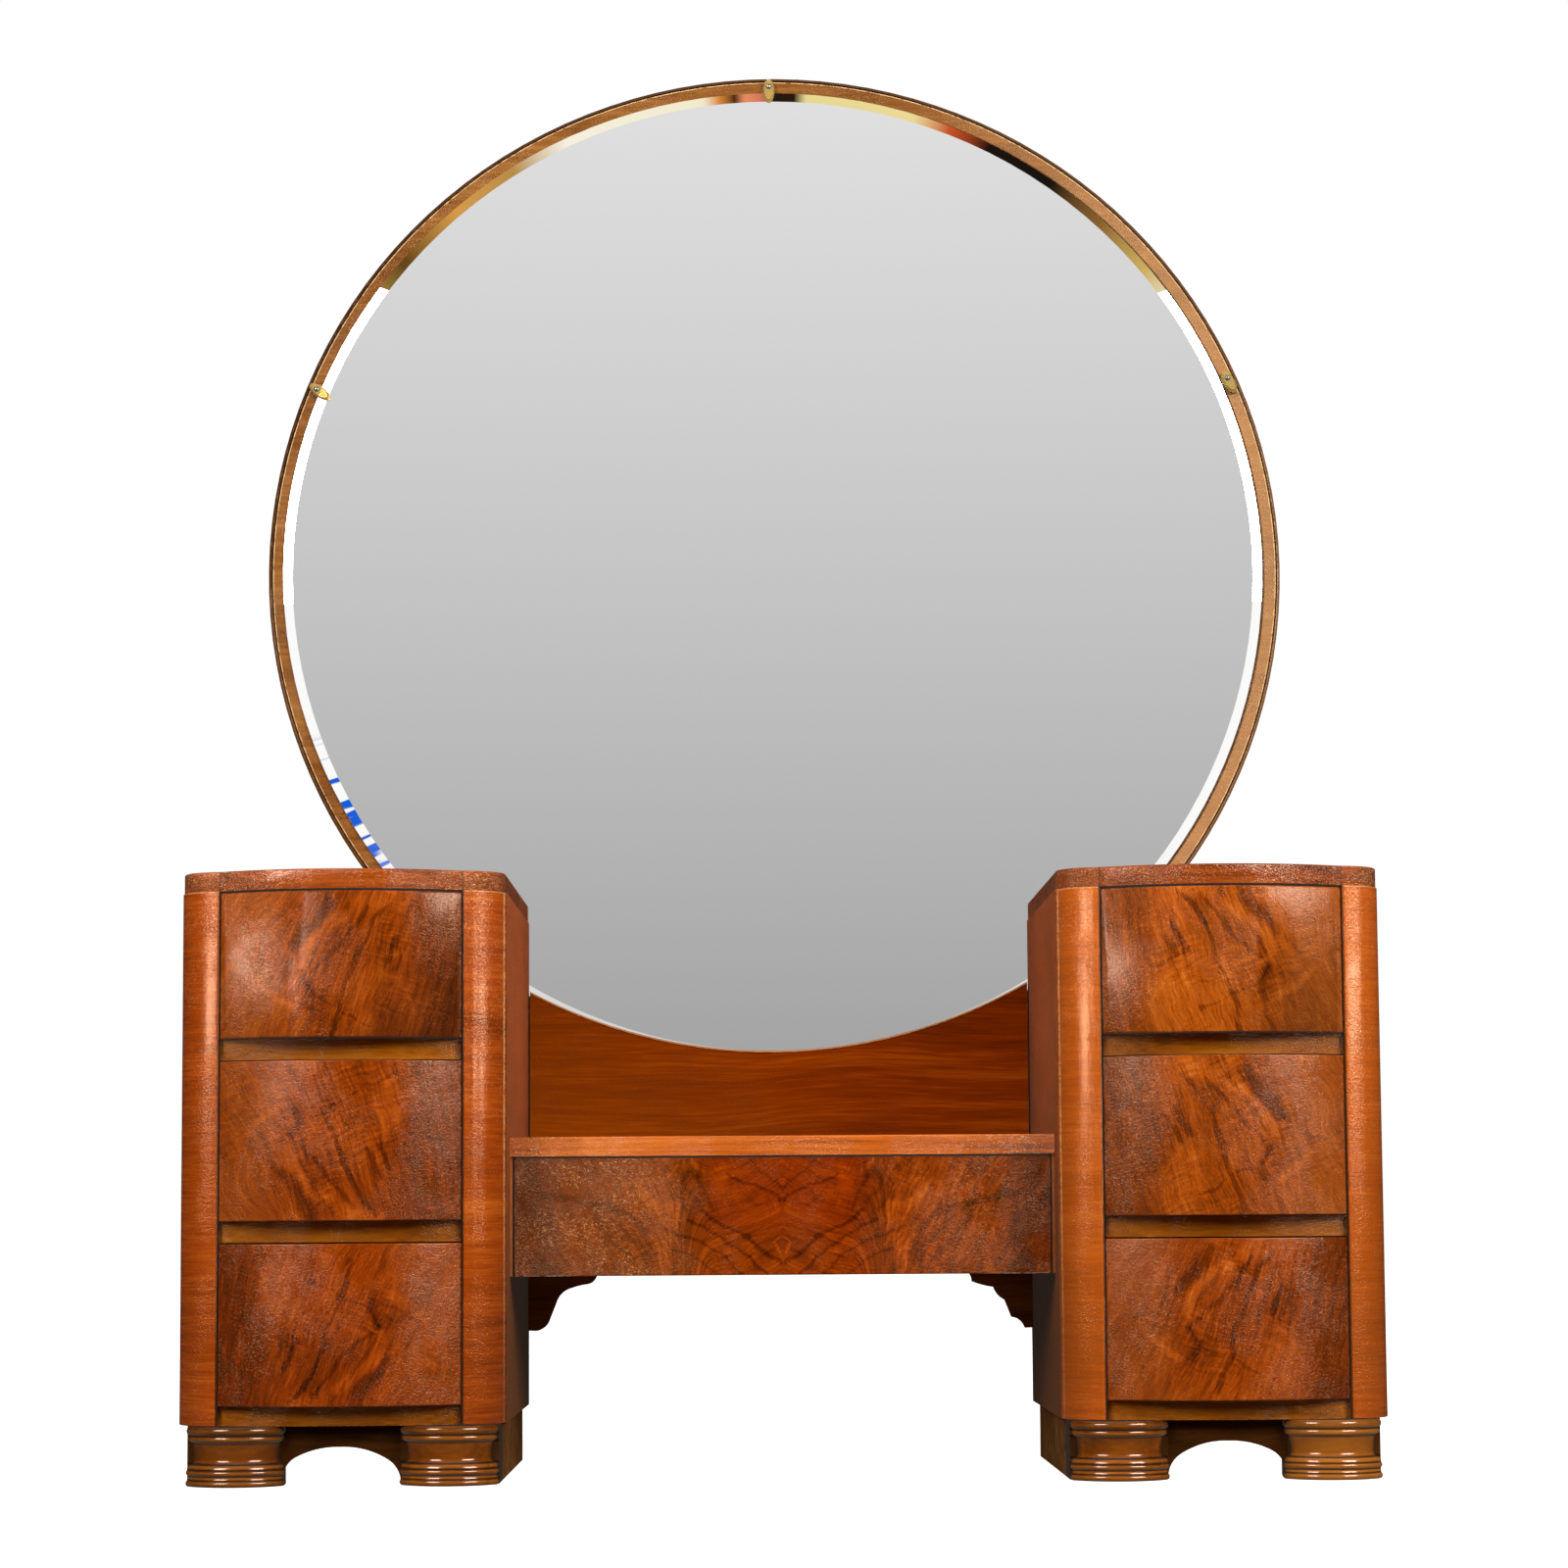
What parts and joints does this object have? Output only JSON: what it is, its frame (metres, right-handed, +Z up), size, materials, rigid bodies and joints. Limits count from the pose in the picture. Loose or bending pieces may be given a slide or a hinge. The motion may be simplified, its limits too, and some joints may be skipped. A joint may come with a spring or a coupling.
{
  "type": "dressing table with mirror",
  "caption": "Dressing table with bow-fronted drawer pedestals, a low centre deck over a wide drawer, and a large round bevelled mirror on a round wooden backboard.",
  "frame": {"origin": "on the floor, in the middle of the bounding box in plan", "axes": "+Z up, the drawers face -Y, +X to the right as seen from the front"},
  "size_m": [1.22, 0.5104, 1.57],
  "materials": {
    "burl_veneer": "figured walnut veneer under gloss lacquer",
    "post_veneer": "cross-grained walnut veneer under gloss lacquer",
    "top_veneer": "straight-grained walnut veneer under gloss lacquer",
    "side_veneer": "straight-grained walnut veneer under satin lacquer",
    "splash_veneer": "straight-grained walnut veneer under gloss lacquer",
    "rail_wood": "stained hardwood under satin lacquer",
    "foot_wood": "stained and turned hardwood under gloss lacquer",
    "plinth_wood": "dark stained hardwood under satin lacquer",
    "mirror_wood": "walnut veneered board under gloss lacquer",
    "secondary_wood": "raw poplar, planed",
    "drawer_wood": "sealed oak",
    "drawer_plywood": "thin sealed plywood",
    "back_plywood": "raw plywood",
    "mirror_silver": "silvered plate glass with a bevelled edge",
    "amber_plastic": "translucent moulded amber plastic",
    "brass_screw": "tarnished",
    "steel_screw": "dull plated"
  },
  "bodies": {
    "case": {"left_top_board": "top_veneer", "left_outer_side": "side_veneer", "left_inner_side": "side_veneer", "left_outer_post": "post_veneer", "left_inner_post": "post_veneer", "left_back_panel": "back_plywood", "left_bottom_board": "secondary_wood", "left_finger_rails": "rail_wood", "left_drawer_runners": "secondary_wood", "left_apron": "plinth_wood", "left_outer_foot": "foot_wood", "left_inner_foot": "foot_wood", "left_plinth_sides": "plinth_wood", "left_plinth_back": "secondary_wood", "right_top_board": "top_veneer", "right_outer_side": "side_veneer", "right_inner_side": "side_veneer", "right_outer_post": "post_veneer", "right_inner_post": "post_veneer", "right_back_panel": "back_plywood", "right_bottom_board": "secondary_wood", "right_finger_rails": "rail_wood", "right_drawer_runners": "secondary_wood", "right_apron": "plinth_wood", "right_outer_foot": "foot_wood", "right_inner_foot": "foot_wood", "right_plinth_sides": "plinth_wood", "right_plinth_back": "secondary_wood", "panel_cleats": "secondary_wood", "centre_deck": "top_veneer", "centre_back_panel": "splash_veneer", "centre_drawer_guides": "side_veneer", "scroll_brackets": "plinth_wood", "mirror_backboard": "mirror_wood", "mirror_glass": "mirror_silver", "mirror_clips": "amber_plastic", "mirror_clip_screws": "brass_screw", "mirror_uprights": "secondary_wood", "upright_screws": "steel_screw"},
    "left_upper_drawer": {"left_upper_drawer_front": "burl_veneer", "left_upper_drawer_box": "drawer_wood", "left_upper_drawer_bottom": "drawer_plywood"},
    "left_middle_drawer": {"left_middle_drawer_front": "burl_veneer", "left_middle_drawer_box": "drawer_wood", "left_middle_drawer_bottom": "drawer_plywood"},
    "left_lower_drawer": {"left_lower_drawer_front": "burl_veneer", "left_lower_drawer_box": "drawer_wood", "left_lower_drawer_bottom": "drawer_plywood"},
    "right_upper_drawer": {"right_upper_drawer_front": "burl_veneer", "right_upper_drawer_box": "drawer_wood", "right_upper_drawer_bottom": "drawer_plywood"},
    "right_middle_drawer": {"right_middle_drawer_front": "burl_veneer", "right_middle_drawer_box": "drawer_wood", "right_middle_drawer_bottom": "drawer_plywood"},
    "right_lower_drawer": {"right_lower_drawer_front": "burl_veneer", "right_lower_drawer_box": "drawer_wood", "right_lower_drawer_bottom": "drawer_plywood"},
    "centre_drawer": {"centre_drawer_front": "burl_veneer", "centre_drawer_box": "drawer_wood", "centre_drawer_bottom": "drawer_plywood"}
  },
  "joints": [
    {"name": "left_upper_drawer_slide", "type": "slide", "parent": "case", "child": "left_upper_drawer", "axis": [0, -1, 0], "range_m": [0, 0.3]},
    {"name": "left_middle_drawer_slide", "type": "slide", "parent": "case", "child": "left_middle_drawer", "axis": [0, -1, 0], "range_m": [0, 0.3]},
    {"name": "left_lower_drawer_slide", "type": "slide", "parent": "case", "child": "left_lower_drawer", "axis": [0, -1, 0], "range_m": [0, 0.3]},
    {"name": "right_upper_drawer_slide", "type": "slide", "parent": "case", "child": "right_upper_drawer", "axis": [0, -1, 0], "range_m": [0, 0.3]},
    {"name": "right_middle_drawer_slide", "type": "slide", "parent": "case", "child": "right_middle_drawer", "axis": [0, -1, 0], "range_m": [0, 0.3]},
    {"name": "right_lower_drawer_slide", "type": "slide", "parent": "case", "child": "right_lower_drawer", "axis": [0, -1, 0], "range_m": [0, 0.3]},
    {"name": "centre_drawer_slide", "type": "slide", "parent": "case", "child": "centre_drawer", "axis": [0, -1, 0], "range_m": [0, 0.22]}
  ]
}
